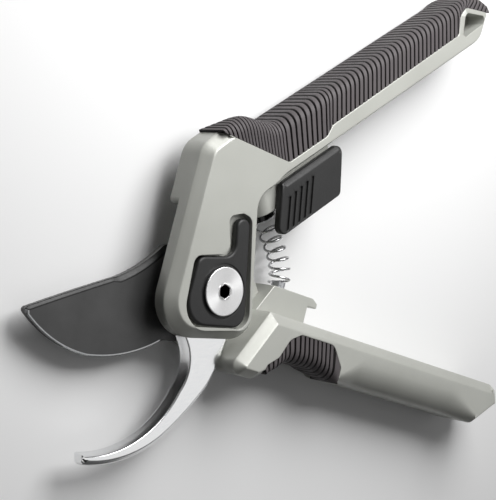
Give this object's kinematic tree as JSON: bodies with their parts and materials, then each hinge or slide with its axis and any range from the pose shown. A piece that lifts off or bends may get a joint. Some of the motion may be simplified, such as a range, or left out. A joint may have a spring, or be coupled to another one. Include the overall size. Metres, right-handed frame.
{
  "type": "bypass pruner",
  "caption": "One-hand garden pruner: curved blade passes a hooked jaw, sprung handles, thumb lock slider, ribbed grips",
  "frame": {"origin": "pivot axis, on the plane that both handles' backs lie on", "axes": "+Z is the pivot axis and the face that shows bolt and lock; +X points between the two open handles; +Y points to the upper handle"},
  "size_m": [0.2054, 0.1626, 0.0216],
  "materials": {
    "painted_casting": "satin",
    "grip_rubber": "matte",
    "polished_steel": "polished",
    "coated_steel": "satin",
    "spun_steel": "brushed",
    "zinc_steel": "satin",
    "bronze": "satin",
    "black_plastic": "matte",
    "spring_wire": "bright"
  },
  "bodies": {
    "upper": {"upper_handle": "painted_casting", "upper_grip": "grip_rubber", "hook_jaw": "polished_steel", "hook_rivets": "zinc_steel", "stop_pin": "zinc_steel", "pivot_bolt": "spun_steel", "pivot_nut": "zinc_steel", "spring_washer": "zinc_steel", "lever_washer": "black_plastic", "bar_leaf_spring": "zinc_steel", "spring_cup": "black_plastic", "return_spring": "spring_wire"},
    "lower": {"lower_handle": "painted_casting", "lower_grip": "grip_rubber", "cutting_blade": "coated_steel", "blade_screws": "zinc_steel", "pivot_bushing": "bronze", "spring_stub": "zinc_steel"},
    "lock": {"lock_slider": "black_plastic", "lock_bar": "zinc_steel", "slider_screws": "zinc_steel"},
    "tension": {"tension_lever": "black_plastic"}
  },
  "joints": [
    {"name": "handle_pivot", "type": "hinge", "parent": "upper", "child": "lower", "pos_m": [0, 0, 0.01], "axis": [0, 0, 1], "range_deg": [0, 42], "stiffness_Nm_per_rad": 0.5, "springref_deg": -34.38, "deforming": ["return_spring"]},
    {"name": "lock_slide", "type": "slide", "parent": "upper", "child": "lock", "axis": [-0.9245, -0.3811, 0], "range_m": [0, 0.0046]},
    {"name": "tension_swing", "type": "hinge", "parent": "upper", "child": "tension", "pos_m": [0, 0, 0.0195], "axis": [0, 0, 1], "range_deg": [0, 8]}
  ]
}
